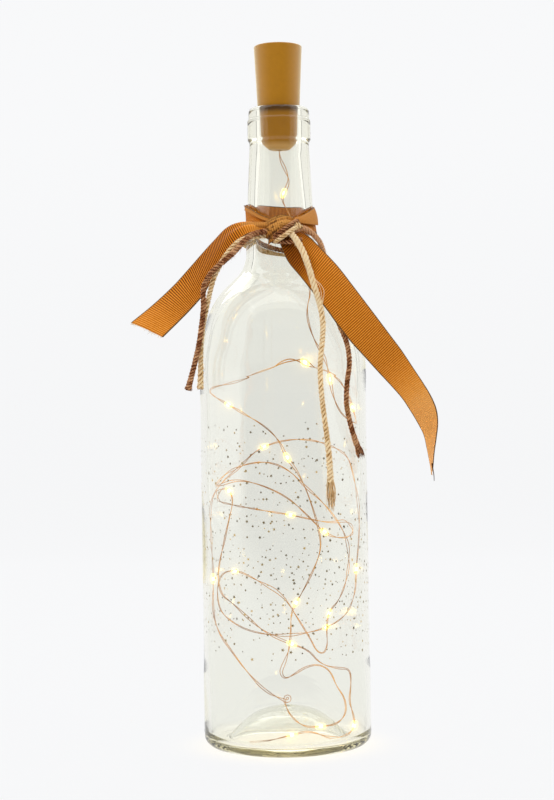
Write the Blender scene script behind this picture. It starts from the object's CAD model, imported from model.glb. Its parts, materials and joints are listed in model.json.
"""Looks of the bottle light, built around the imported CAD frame. Metres, +Z up."""

import json
import math
import random

import bmesh
import bpy
import numpy as np
from mathutils import Matrix, Vector


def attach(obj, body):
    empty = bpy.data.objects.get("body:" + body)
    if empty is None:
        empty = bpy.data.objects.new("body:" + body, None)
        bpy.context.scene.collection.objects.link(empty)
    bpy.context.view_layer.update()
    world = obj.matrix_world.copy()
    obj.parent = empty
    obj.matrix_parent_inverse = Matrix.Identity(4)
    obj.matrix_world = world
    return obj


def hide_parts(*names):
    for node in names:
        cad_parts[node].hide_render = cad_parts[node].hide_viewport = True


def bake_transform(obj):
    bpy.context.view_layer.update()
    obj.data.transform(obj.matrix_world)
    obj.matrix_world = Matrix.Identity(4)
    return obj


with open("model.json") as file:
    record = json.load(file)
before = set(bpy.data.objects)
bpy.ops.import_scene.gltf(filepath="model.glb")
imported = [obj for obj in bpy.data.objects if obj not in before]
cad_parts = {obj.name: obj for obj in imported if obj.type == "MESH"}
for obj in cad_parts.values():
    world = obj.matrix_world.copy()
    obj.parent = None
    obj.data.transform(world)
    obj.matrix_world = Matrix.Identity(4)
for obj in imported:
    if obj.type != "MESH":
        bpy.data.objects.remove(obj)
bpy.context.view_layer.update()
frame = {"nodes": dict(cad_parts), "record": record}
scene = bpy.context.scene
MM = 0.001
rng = np.random.default_rng(20)

# ---------------------------------------------------------------- the camera
lens = bpy.data.cameras.new("photo_camera")
lens.lens = 78.75
lens.sensor_width = 36.0
lens.sensor_fit = "AUTO"
lens.clip_start = 0.02
lens.clip_end = 20.0
camera = bpy.data.objects.new("photo_camera", lens)
scene.collection.objects.link(camera)
camera.matrix_world = (
    Matrix.Translation((-0.00274, -0.8, 0.1568))
    @ Matrix.Rotation(math.radians(90), 4, "X")
    @ Matrix.Rotation(math.radians(-0.863), 4, "Z")
)
scene.camera = camera

# --------------------------------------------------------------- the routes
# the same hand-written points as the CAD part's tubes, in millimetres, with one small kink of the string near the base
STRING_ROUTE = [
    (0, 0, 270.5), (0.1, 0, 267.2), (2.5, 0.4, 262.6), (5, 0.6, 256), (0, -0.6, 248.9), (5.6, 0.2, 240.4), (7, -1, 228.5), (9.4, -5, 217),
    (13.1, -13, 205.4), (10.6, -20, 197.1), (11.6, -24, 189.2), (14.3, -25, 181.6), (18.9, -24.6, 174.1), (20.5, -25.2, 165), (21.9, -25.3, 156.8),
    (25.8, -17.1, 149.6), (32, -10.4, 145.5), (33.8, -1.2, 146.5), (33.4, 6.5, 152.5), (31.1, 13.8, 160.5), (26, 21.3, 169.9), (18.7, 27.2, 173.8),
    (10.3, 31.1, 177.2), (0.8, 32.8, 177.3), (-9.3, 31.9, 173.4), (-18.8, 28.4, 168.6), (-26.6, 21.2, 165.7), (-32.2, 7.6, 164), (-34, 0, 162.1),
    (-31.6, -8.8, 159.5), (-24.4, -23.7, 155.5), (-16.4, -29.8, 150.6), (-8.5, -32.9, 145.8), (-2, -33.9, 139.3), (0.9, -34, 131.8), (5.7, -33.5, 125.3),
    (9.1, -32.8, 117.8), (11.8, -31.9, 109.8), (14.5, -30.7, 100.1), (15.5, -30.3, 90.8), (11.6, -32, 81.3), (7.1, -33.3, 72.7), (1.9, -33.9, 64.4),
    (1.8, -34, 55.2), (1, -34, 47.8), (-1.1, -34, 42.1), (-3.1, -33.9, 37.7), (-1.2, -34, 34.5), (3.2, -33.8, 36.8), (8.3, -33, 40), (14.1, -30.7, 40.5),
    (18.7, -27.9, 36.8), (20.9, -25.8, 30.3), (24.9, -21.6, 23.8), (25.3, -20.6, 16.5), (20.9, -24.8, 12.8), (13.7, -29.1, 12.8), (6.6, -31.5, 13.2),
    (1.2, -32.6, 18.2), (-0.9, -33.0, 22.6), (-1.4, -33.5, 25.9),
    (-0.7, -33.7, 27.3), (0.7, -33.7, 27.2), (1.0, -33.3, 25.7), (0.0, -32.6, 24.6), (-2.6, -32.0, 25.6), (-9.4, -32.3, 29.1), (-17.2, -29.3, 37), (-23.9, -23, 45.6), (-30.3, -13.5, 53.4), (-33.5, -3.9, 63.5),
    (-32.9, -4.6, 76.4), (-33.9, -1.9, 87.9), (-34.3, -0.5, 99.2), (-34.3, 0.2, 110.6), (-30.7, 10.6, 118.8), (-21.7, 26.4, 125.2), (-13.2, 31.6, 133.5),
    (-1.7, 34.2, 137.3), (10.7, 32.5, 137.8), (22.3, 25.9, 135.3), (30.8, 13.5, 130.8), (32.7, 10, 122), (34, 3.6, 111), (34.2, 1.8, 99.5),
    (33.9, 4.8, 88.5), (33.1, 5.2, 77.7), (33.2, 5, 67.6), (29.3, 15.9, 56.1), (19, 28.5, 48.2), (6.4, 33.6, 45.1), (-6.9, 33.5, 44.9),
    (-19.1, 28.3, 47.9), (-26.9, 20.5, 53.2), (-31.1, 13.2, 58.5), (-32.3, 7.5, 64.5), (-32.2, 5.1, 71.5), (-29.9, 10.2, 77.2), (-22.8, 22.2, 77.4),
    (-13.1, 28.8, 71.6), (-1.4, 31.6, 64.6), (6, 31, 52.3), (11.6, 29.4, 43.5), (14.5, 28.1, 37.6), (17.8, 25.9, 36.5), (19.7, 24.2, 40.5),
    (19.1, 24.4, 48), (20.2, 23.6, 57), (25.2, 18, 62.4), (28.8, 10.3, 72.1), (29.9, 4.9, 83.2), (28.6, 8.1, 93.1), (24, 18.1, 101.6),
    (17.2, 25.8, 109.6), (9.8, 30, 116), (2.8, 31.7, 123.5), (-7.1, 31, 127.8), (-17.9, 26, 127.1), (-27.1, 15.5, 123.7), (-30.5, 8.2, 120.5),
    (-31.5, -2.2, 118), (-28.4, -13.9, 119), (-20.5, -24.1, 122), (-9.8, -30, 119.6), (1.6, -31.6, 114), (10.7, -29.7, 104.9), (18.1, -25.9, 96.6),
    (25.7, -18, 94.5), (30.3, -7.5, 95.5), (31, 3.8, 98), (28.6, 13.9, 100.5), (22.7, 23.4, 98.7), (13.9, 30.2, 99.9), (3.5, 33, 102.1),
    (-7.9, 32, 103.8), (-19.2, 26.4, 106.3), (-28.1, 13, 109.4), (-30.8, 3.8, 111), (-30.5, -5.4, 114.5), (-28.3, -15, 117.5), (-24.1, -22.5, 117.8),
    (-22.2, -24.5, 112.5), (-24.4, -21.7, 103.9), (-26.9, -17.7, 92.9), (-29.2, -13, 84.5), (-30.4, -9.9, 76.5), (-28.5, -14.5, 69.5),
    (-24, -20.8, 67.3), (-17.4, -25.1, 61.2), (-9.4, -29.9, 54.7), (1.5, -31.4, 49.8), (9.4, -30, 46.8), (14.1, -27.8, 40.3), (21.8, -22.1, 37),
    (28.1, -11.7, 35), (28, -12.5, 27.6), (27, -13.5, 21.1), (29.2, -9.7, 14.1), (30, -6.6, 7.9), (25.3, -14.1, 5), (18.2, -21.5, 6), (9.3, -26.4, 10.7),
    (0.4, -28.6, 8.9), (-8.9, -27.4, 6.3), (-16.9, -23.8, 4.6),
]
LAMPS = [
    (1.7, -0.2, 251.1), (20.4, -25.1, 165.4), (33.2, 6.2, 152.5), (11.2, 30.5, 176.6), (-23.6, -23.8, 155.0),
    (1.5, -33.9, 131.2), (4.1, -33.6, 68.0), (13.9, -28.8, 12.8), (-33.1, -4.2, 76.1), (-9.0, 32.5, 134.9),
    (33.2, 5.1, 78.3), (19.4, 27.3, 49.0), (-23.6, 20.4, 77.0), (20.6, 23.1, 56.5), (17.0, -26.3, 98.2),
    (3.5, 32.6, 102.0), (-23.9, -22.6, 116.7), (2.3, -31.1, 49.5), (29.6, -7.7, 9.2), (1.9, -28.1, 9.2),
]
TWINE_ROUTES = {
    "jute_tail_left": [
        (-6.8, -22.8, 229.8), (-13.1, -25.4, 229.3), (-18, -26.4, 227.7), (-22.5, -26.6, 223.7), (-26.5, -26.4, 217.9),
        (-30, -26, 211.3), (-32.3, -24.6, 202.9), (-34.5, -23, 193.2), (-36.3, -22, 182.6), (-36.4, -21, 171.9), (-36.8, -20.5, 162.6),
    ],
    "brown_tail_left": [
        (-6.2, -24.4, 231.6), (-11.3, -27.2, 230.8), (-15.5, -28.6, 228.1), (-20.2, -29.1, 222.5), (-26, -29.1, 217.7),
        (-31.4, -29, 213.1), (-34.8, -28.1, 206.7), (-34.4, -27.2, 199.2), (-35.5, -26.6, 190), (-37.3, -25.6, 179.4),
        (-39.9, -24.6, 170.1), (-42, -24, 162.1),
    ],
    "jute_tail_right": [
        (3.8, -27.5, 231.4), (6.8, -30, 227.2), (9.6, -31.3, 222.2), (11.9, -32.2, 215.6), (13.9, -32.6, 207.7),
        (16.5, -32, 199.8), (18.1, -32.6, 191), (17.5, -34.3, 181.8), (16.2, -36.1, 171.7), (16.5, -36.5, 161.6),
        (17.5, -36.3, 151.1), (18.9, -35.6, 140.2), (19.9, -35.1, 130.1), (20.1, -34.9, 120.6),
    ],
    "brown_tail_right": [
        (5, -25.2, 231.4), (9.6, -24.9, 233.3), (12.9, -23.6, 231.5), (15.7, -22.6, 229.1), (17.8, -21.8, 226.2),
        (19, -21.6, 221.5), (20, -22.6, 214.5), (21.2, -24.4, 206), (22.8, -26.2, 197.5), (25.3, -27, 189.3),
        (28.7, -25.8, 181.8), (29.8, -26.8, 173.1), (28.2, -28.6, 163.9), (27.6, -29, 155.9),
        (28.9, -27.8, 148), (30.8, -25.6, 140.9), (33.2, -22.4, 134.4),
    ],
}
RIBBON_LEFT = [
    ((-7.3, -20.5, 233.9), (-5.5, -22.5, 231.0)), ((-13.5, -19.0, 235.8), (-11.7, -24.0, 232.0)),
    ((-19.4, -17.0, 235.8), (-16.4, -24.6, 230.1)), ((-24.4, -15.6, 233.7), (-21.3, -24.6, 225.3)),
    ((-29.4, -14.6, 229.1), (-25.9, -24.4, 218.4)), ((-34.5, -14.2, 223.8), (-30.0, -24.0, 211.8)),
    ((-40.9, -14.0, 216.8), (-34.5, -23.8, 204.3)), ((-48.3, -14.0, 208.9), (-39.3, -23.6, 198.7)),
    ((-57.7, -14.2, 200.4), (-45.4, -23.6, 192.5)), ((-67.7, -14.4, 192.5), (-52.9, -23.6, 185.3)),
]
RIBBON_RIGHT = [
    ((4.3, -22.0, 233.0), (-0.9, -23.0, 228.7)), ((8.3, -22.6, 232.1), (0.1, -25.0, 224.6)),
    ((12.6, -23.2, 229.2), (2.9, -27.0, 217.8)), ((17.7, -23.8, 223.9), (8.1, -28.8, 211.1)),
    ((25.1, -24.6, 215.6), (13.6, -29.8, 204.0)), ((31.3, -25.0, 207.3), (19.4, -30.2, 196.5)),
    ((37.0, -24.8, 199.6), (24.8, -29.6, 188.8)), ((42.2, -24.0, 192.6), (30.4, -27.8, 181.7)),
    ((47.5, -22.6, 185.5), (36.4, -25.8, 175.1)), ((52.9, -20.8, 178.3), (42.1, -23.4, 168.8)),
    ((58.0, -19.0, 170.7), (47.8, -19.6, 162.8)), ((62.7, -17.6, 163.6), (53.2, -14.8, 156.9)),
    ((66.6, -16.4, 156.9), (57.7, -9.4, 150.6)), ((68.8, -15.6, 151.0), (61.2, -4.4, 145.2)),
    ((69.3, -14.9, 145.1), (64.0, -1.4, 139.9)), ((68.6, -14.4, 138.8), (65.5, 0.4, 133.7)),
    ((67.6, -14.0, 132.1), (66.7, 1.6, 127.5)), ((66.9, -13.8, 124.9), (67.8, 2.2, 121.3)),
]


# ------------------------------------------------------------------- helpers
def nurbs_points(name, points):
    """The points in metres of a NURBS curve through a route given in millimetres."""
    curve = bpy.data.curves.new(name, "CURVE")
    curve.dimensions = "3D"
    curve.resolution_u = 12
    spline = curve.splines.new("NURBS")
    spline.points.add(len(points) - 1)
    for at, p in zip(spline.points, points):
        at.co = (p[0] * MM, p[1] * MM, p[2] * MM, 1.0)
    spline.order_u = 3
    spline.use_endpoint_u = True
    holder = bpy.data.objects.new(name, curve)
    scene.collection.objects.link(holder)
    bpy.context.view_layer.update()
    mesh = bpy.data.meshes.new_from_object(holder)
    found = np.array([v.co[:] for v in mesh.vertices])
    bpy.data.objects.remove(holder)
    bpy.data.curves.remove(curve)
    bpy.data.meshes.remove(mesh)
    return found


def resample(P, step):
    """Even points along a line."""
    P = np.asarray(P, float)
    d = np.concatenate([[0], np.cumsum(np.linalg.norm(np.diff(P, axis=0), axis=1))])
    count = max(2, int(round(d[-1] / step)) + 1)
    s = np.linspace(0, d[-1], count)
    return np.stack([np.interp(s, d, P[:, k]) for k in range(3)], axis=1), s


def smooth_line(points, step):
    """A Catmull-Rom line through a few points, evenly sampled."""
    P = np.asarray(points, float)
    ext = np.vstack([2 * P[0] - P[1], P, 2 * P[-1] - P[-2]])
    out = []
    for i in range(1, len(ext) - 2):
        p0, p1, p2, p3 = ext[i - 1], ext[i], ext[i + 1], ext[i + 2]
        for t in np.linspace(0, 1, 14, endpoint=False):
            out.append(
                0.5 * (2 * p1 + (p2 - p0) * t + (2 * p0 - 5 * p1 + 4 * p2 - p3) * t * t
                       + (3 * p1 - p0 - 3 * p2 + p3) * t ** 3)
            )
    out.append(P[-1])
    return resample(np.array(out), step)


def frames(P):
    """Tangents and two normals carried along a line without twisting."""
    T = np.gradient(P, axis=0)
    T /= np.linalg.norm(T, axis=1)[:, None]
    N = np.zeros_like(P)
    ref = np.array([0, 0, 1.0]) if abs(T[0, 2]) < 0.9 else np.array([1.0, 0, 0])
    n = ref - T[0] * (ref @ T[0])
    N[0] = n / np.linalg.norm(n)
    for i in range(1, len(P)):
        n = N[i - 1] - T[i] * (N[i - 1] @ T[i])
        N[i] = n / np.linalg.norm(n)
    return T, N, np.cross(T, N)


def make(name, verts, faces, material, smooth=True, uv=None, attributes=None):
    mesh = bpy.data.meshes.new(name)
    mesh.from_pydata([tuple(v) for v in verts], [], [tuple(int(i) for i in f) for f in faces])
    mesh.materials.append(material)
    if uv is not None:
        layer = mesh.uv_layers.new(name="cloth")
        loops = np.zeros(len(mesh.loops), dtype=int)
        mesh.loops.foreach_get("vertex_index", loops)
        layer.data.foreach_set("uv", np.asarray(uv)[loops].astype(np.float32).ravel())
    for key, values in (attributes or {}).items():
        at = mesh.attributes.new(key, "FLOAT", "POINT")
        at.data.foreach_set("value", np.asarray(values, dtype=np.float32))
    if smooth:
        mesh.polygons.foreach_set("use_smooth", [True] * len(mesh.polygons))
    mesh.update()
    obj = bpy.data.objects.new(name, mesh)
    scene.collection.objects.link(obj)
    return obj


class Build:
    """Collects vertices, faces and one value per vertex for a mesh made of many parts."""

    def __init__(self):
        self.v, self.f, self.tone, self.n = [], [], [], 0

    def add(self, verts, faces, tone=0.0):
        verts = np.asarray(verts, float)
        self.v.append(verts)
        self.f.extend([tuple(int(i) + self.n for i in f) for f in faces])
        self.tone.append(np.full(len(verts), tone, float) if np.isscalar(tone) else np.asarray(tone, float))
        self.n += len(verts)

    def obj(self, name, material, smooth=True):
        return make(
            name, np.vstack(self.v), self.f, material, smooth,
            attributes={"tone": np.concatenate(self.tone)},
        )


def tube(P, radius, sides=8, closed=False, squash=1.0, spin=None):
    """Rings round a line; radius is one number or one per point."""
    T, N, B = frames(P)
    r = np.full(len(P), radius, float) if np.isscalar(radius) else np.asarray(radius, float)
    a = np.linspace(0, 2 * math.pi, sides, endpoint=False)
    turn = np.zeros(len(P)) if spin is None else np.asarray(spin, float)
    verts = []
    for i in range(len(P)):
        c, s = np.cos(turn[i]), np.sin(turn[i])
        n, b = N[i] * c + B[i] * s, -N[i] * s + B[i] * c
        verts.append(P[i] + r[i] * (np.outer(np.cos(a), n) + squash * np.outer(np.sin(a), b)))
    verts = np.vstack(verts)
    faces = []
    for i in range(len(P) - 1):
        for k in range(sides):
            q = (k + 1) % sides
            faces.append((i * sides + k, i * sides + q, (i + 1) * sides + q, (i + 1) * sides + k))
    if closed:
        last = len(P) - 1
        for k in range(sides):
            q = (k + 1) % sides
            faces.append((last * sides + k, last * sides + q, q, k))
    else:
        faces.append(tuple(range(sides))[::-1])
        faces.append(tuple(range((len(P) - 1) * sides, len(P) * sides)))
    return verts, faces


def rounded(corners, steps=7):
    """A line of (r, z, rounding) corners with each rounding drawn as an arc."""
    out = []
    for i, (r, z, R) in enumerate(corners):
        p = np.array([r, z], float)
        if R <= 0 or i in (0, len(corners) - 1):
            out.append(p)
            continue
        a = np.array(corners[i - 1][:2], float) - p
        b = np.array(corners[i + 1][:2], float) - p
        la, lb = np.linalg.norm(a), np.linalg.norm(b)
        a, b = a / la, b / lb
        half = math.acos(max(-1, min(1, float(a @ b)))) / 2
        cut = min(R / math.tan(half), 0.49 * la, 0.49 * lb)
        R = cut * math.tan(half)
        centre = p + (a + b) / np.linalg.norm(a + b) * (R / math.sin(half))
        s, e = p + a * cut - centre, p + b * cut - centre
        turn = math.acos(max(-1, min(1, float(s @ e) / R / R)))
        sign = 1 if s[0] * e[1] - s[1] * e[0] > 0 else -1
        for t in np.linspace(0, 1, steps):
            g = sign * turn * t
            out.append(centre + np.array([s[0] * math.cos(g) - s[1] * math.sin(g), s[0] * math.sin(g) + s[1] * math.cos(g)]))
    return np.array(out)


def densify(line, longest):
    out = [line[0]]
    for a, b in zip(line, line[1:]):
        n = max(1, int(math.ceil(np.linalg.norm(b - a) / longest)))
        for t in np.linspace(0, 1, n + 1)[1:]:
            out.append(a + (b - a) * t)
    return np.array(out)


def lathe(name, line, material, segments=160, closed=False, wave=None):
    """Turns a line of (r, z) in millimetres about the Z axis."""
    verts, rows = [], []
    for r, z in line:
        if r < 1e-6:
            rows.append([len(verts)])
            verts.append((0, 0, z * MM))
            continue
        rows.append(list(range(len(verts), len(verts) + segments)))
        for k in range(segments):
            g = 2 * math.pi * k / segments
            rr = r + (wave(r, z, g) if wave else 0.0)
            verts.append((rr * MM * math.cos(g), rr * MM * math.sin(g), z * MM))
    faces = []
    pairs = list(zip(rows, rows[1:]))
    if closed:
        pairs.append((rows[-1], rows[0]))
    for a, b in pairs:
        for k in range(segments):
            q = (k + 1) % segments
            if len(a) == 1 and len(b) == 1:
                continue
            if len(a) == 1:
                faces.append((a[0], b[q], b[k]))
            elif len(b) == 1:
                faces.append((a[k], a[q], b[0]))
            else:
                faces.append((a[k], a[q], b[q], b[k]))
    obj = make(name, verts, faces, material)
    bm = bmesh.new()
    bm.from_mesh(obj.data)
    bmesh.ops.recalc_face_normals(bm, faces=bm.faces)
    bm.to_mesh(obj.data)
    bm.free()
    return obj


def join(name, objs):
    bpy.ops.object.select_all(action="DESELECT")
    for o in objs:
        o.select_set(True)
    bpy.context.view_layer.objects.active = objs[0]
    bpy.ops.object.join()
    objs[0].name = name
    return objs[0]


# ----------------------------------------------------------------- materials
def material(name, base, rough=0.5, metal=0.0, **more):
    m = bpy.data.materials.new(name)
    m.use_nodes = True
    s = m.node_tree.nodes["Principled BSDF"]
    s.inputs["Base Color"].default_value = (*base, 1.0)
    s.inputs["Roughness"].default_value = rough
    s.inputs["Metallic"].default_value = metal
    for key, value in more.items():
        s.inputs[key.replace("_", " ")].default_value = value
    return m, m.node_tree, s


def node(tree, kind, **values):
    n = tree.nodes.new(kind)
    for key, value in values.items():
        if hasattr(n, key):
            setattr(n, key, value)
        else:
            n.inputs[key.replace("_", " ")].default_value = value
    return n


def coordinates(tree, scale=(1, 1, 1), output="Object"):
    c = node(tree, "ShaderNodeTexCoord")
    m = node(tree, "ShaderNodeMapping")
    m.inputs["Scale"].default_value = scale
    tree.links.new(c.outputs[output], m.inputs["Vector"])
    return m.outputs["Vector"]


def noise(tree, vector, scale, detail=3.0, rough=0.5):
    n = node(tree, "ShaderNodeTexNoise")
    n.inputs["Scale"].default_value = scale
    n.inputs["Detail"].default_value = detail
    n.inputs["Roughness"].default_value = rough
    tree.links.new(vector, n.inputs["Vector"])
    return n.outputs["Fac"]


def ramp(tree, fac, stops):
    r = node(tree, "ShaderNodeValToRGB")
    e = r.color_ramp.elements
    while len(e) < len(stops):
        e.new(0.5)
    for slot, (at, colour) in zip(e, stops):
        slot.position = at
        slot.color = (*colour, 1.0) if len(colour) == 3 else colour
    tree.links.new(fac, r.inputs["Fac"])
    return r.outputs["Color"]


def maths(tree, operation, a, b=None, c=None):
    n = node(tree, "ShaderNodeMath")
    n.operation = operation
    for k, value in enumerate((a, b, c)):
        if value is None:
            continue
        if isinstance(value, (int, float)):
            n.inputs[k].default_value = value
        else:
            tree.links.new(value, n.inputs[k])
    return n.outputs[0]


def bump(tree, shader, height, strength=0.2, distance=0.0002):
    b = node(tree, "ShaderNodeBump")
    b.inputs["Strength"].default_value = strength
    b.inputs["Distance"].default_value = distance
    tree.links.new(height, b.inputs["Height"])
    tree.links.new(b.outputs["Normal"], shader.inputs["Normal"])
    return b


def grained(name, base, dark, rough=0.5, metal=0.0, scale=900.0, strength=0.15, spread=0.12, **more):
    """A plain finish whose colour, roughness and surface vary a little."""
    m, tree, s = material(name, base, rough, metal, **more)
    v = coordinates(tree)
    fine = noise(tree, v, scale, 4.0)
    broad = noise(tree, v, scale * 0.12, 2.0)
    mixed = maths(tree, "ADD", maths(tree, "MULTIPLY", fine, 0.5), maths(tree, "MULTIPLY", broad, 0.5))
    tree.links.new(ramp(tree, mixed, [(0.3, dark), (0.68, base)]), s.inputs["Base Color"])
    tree.links.new(
        maths(tree, "ADD", maths(tree, "MULTIPLY", broad, spread), rough - spread / 2), s.inputs["Roughness"]
    )
    bump(tree, s, fine, strength, 0.00005)
    return m


# glass: clear with a breath of grey-green and a faintly uneven skin
glass, tree, s = material("clear_glass", (0.954, 0.960, 0.936), 0.0, 0.0)
s.inputs["Transmission Weight"].default_value = 1.0
s.inputs["IOR"].default_value = 1.5
v = coordinates(tree, (1, 1, 0.35))
bump(tree, s, noise(tree, v, 55.0, 1.0), 0.06, 0.0006)
soak = node(tree, "ShaderNodeVolumeAbsorption")
soak.inputs["Color"].default_value = (0.908, 0.879, 0.728, 1.0)
soak.inputs["Density"].default_value = 50.0
tree.links.new(soak.outputs["Volume"], tree.nodes["Material Output"].inputs["Volume"])

cork = grained(
    "cork_resin", (0.425, 0.178, 0.001), (0.375, 0.155, 0.001), 0.36, scale=500.0, strength=0.12, Specular_IOR_Level=0.22,
    Sheen_Weight=1.0, Sheen_Roughness=0.46, Sheen_Tint=(1.0, 0.90, 0.60, 1.0), Coat_Weight=0.95, Coat_Roughness=0.45, Coat_IOR=1.33,
)
# a dark line in the corner under the stopper's collar
tree = cork.node_tree
s = tree.nodes["Principled BSDF"]
split = node(tree, "ShaderNodeSeparateXYZ")
tree.links.new(coordinates(tree), split.inputs[0])
off = maths(tree, "MULTIPLY", maths(tree, "SUBTRACT", split.outputs[2], 0.2887), 720.0)
line = maths(tree, "EXPONENT", maths(tree, "MULTIPLY", maths(tree, "MULTIPLY", off, off), -1.0))
mix = node(tree, "ShaderNodeMix")
mix.data_type = "RGBA"
plain_colour = s.inputs["Base Color"].links[0].from_socket
tree.links.new(maths(tree, "MULTIPLY", line, 0.90), mix.inputs[0])
above = maths(tree, "MULTIPLY", maths(tree, "SUBTRACT", split.outputs[2], 0.2884), 900.0)
above = maths(tree, "MINIMUM", maths(tree, "MAXIMUM", above, 0.25), 1.0)
clear = maths(tree, "SUBTRACT", 1.0, maths(tree, "MULTIPLY", line, 0.90))
tree.links.new(maths(tree, "MULTIPLY", clear, above), s.inputs["Sheen Weight"])
tree.links.new(maths(tree, "MULTIPLY", clear, 0.04), s.inputs["Specular IOR Level"])
tree.links.new(maths(tree, "MULTIPLY", clear, maths(tree, "MULTIPLY", above, 0.95)), s.inputs["Coat Weight"])
tree.links.new(plain_colour, mix.inputs[6])
mix.inputs[7].default_value = (0.075, 0.028, 0.001, 1)
# the moulded end is paler
end = maths(tree, "MULTIPLY", maths(tree, "SUBTRACT", 0.2742, split.outputs[2]), 330.0)
end = maths(tree, "MINIMUM", maths(tree, "MAXIMUM", end, 0.0), 0.72)
pale = node(tree, "ShaderNodeMix")
pale.data_type = "RGBA"
tree.links.new(end, pale.inputs[0])
tree.links.new(mix.outputs[2], pale.inputs[6])
pale.inputs[7].default_value = (0.80, 0.48, 0.17, 1)
tree.links.new(pale.outputs[2], s.inputs["Base Color"])
cap_paint = grained("cap_plastic", (0.44, 0.205, 0.012), (0.38, 0.172, 0.009), 0.4, scale=700.0, strength=0.1)
board_paint = grained("board_green", (0.03, 0.13, 0.05), (0.02, 0.09, 0.035), 0.35, scale=900.0)
steel = grained("switch_steel", (0.55, 0.55, 0.56), (0.42, 0.42, 0.43), 0.3, 1.0, scale=1500.0)
black = grained("knob_black", (0.022, 0.022, 0.024), (0.012, 0.012, 0.013), 0.45, scale=1500.0)
nickel = grained("nickel", (0.64, 0.60, 0.52), (0.5, 0.47, 0.4), 0.28, 1.0, scale=1500.0)
cell_steel = grained("cell_steel", (0.66, 0.66, 0.68), (0.56, 0.56, 0.58), 0.2, 1.0, scale=1100.0, strength=0.08)
white_plastic = grained("tube_white", (0.72, 0.72, 0.68), (0.62, 0.62, 0.58), 0.4, scale=700.0)
red = grained("lead_red", (0.42, 0.015, 0.012), (0.3, 0.01, 0.01), 0.3, scale=1500.0)
soot = grained("lead_black", (0.014, 0.014, 0.015), (0.008, 0.008, 0.009), 0.3, scale=1500.0)
solder = grained("solder", (0.6, 0.6, 0.62), (0.42, 0.42, 0.44), 0.22, 1.0, scale=1200.0, strength=0.3)
glue = grained("hot_glue", (0.78, 0.76, 0.68), (0.7, 0.68, 0.58), 0.25, scale=300.0)
rubber = grained("bush_rubber", (0.02, 0.02, 0.02), (0.012, 0.012, 0.012), 0.6, scale=1200.0)

# enamelled copper: orange metal, browner in places
copper, tree, s = material("copper", (0.60, 0.25, 0.08), 0.4, 0.25, Specular_IOR_Level=0.25)
v = coordinates(tree)
patch = noise(tree, v, 70.0, 2.0)
tree.links.new(
    ramp(tree, patch, [(0.32, (0.24, 0.092, 0.024)), (0.50, (0.58, 0.255, 0.060)), (0.70, (0.92, 0.50, 0.15))]),
    s.inputs["Base Color"],
)
tree.links.new(maths(tree, "ADD", maths(tree, "MULTIPLY", noise(tree, v, 900.0), 0.2), 0.2), s.inputs["Roughness"])
s.inputs["Emission Color"].default_value = (1.0, 0.52, 0.17, 1.0)
s.inputs["Emission Strength"].default_value = 0.08

# a lit drop of clear resin, and the lamp chip in it
drop_resin, tree, s = material("lamp_resin", (1.0, 0.86, 0.50), 0.12, 0.0)
s.inputs["Transmission Weight"].default_value = 0.6
s.inputs["IOR"].default_value = 1.2
s.inputs["Emission Color"].default_value = (1.0, 0.80, 0.22, 1.0)
s.inputs["Emission Strength"].default_value = 1.0
v = coordinates(tree)
bump(tree, s, noise(tree, v, 700.0, 2.0), 0.15, 0.0002)
lit, tree, s = material("lamp_chip", (1.0, 0.85, 0.5), 0.5, 0.0)
s.inputs["Emission Color"].default_value = (1.0, 0.84, 0.36, 1.0)
s.inputs["Emission Strength"].default_value = 36.0

# gold foil of the stars
gold, tree, s = material("star_gold", (0.3, 0.22, 0.09), 0.5, 0.3)
v = coordinates(tree)
at = node(tree, "ShaderNodeAttribute")
at.attribute_name = "tone"
tree.links.new(
    ramp(tree, at.outputs["Fac"], [(0.0, (0.10, 0.075, 0.03)), (0.55, (0.24, 0.175, 0.07)), (1.0, (0.72, 0.50, 0.20))]),
    s.inputs["Base Color"],
)


def stretched_uv(tree, vector, scale):
    m = node(tree, "ShaderNodeMapping")
    m.inputs["Scale"].default_value = scale
    tree.links.new(vector, m.inputs["Vector"])
    return m.outputs["Vector"]


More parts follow.
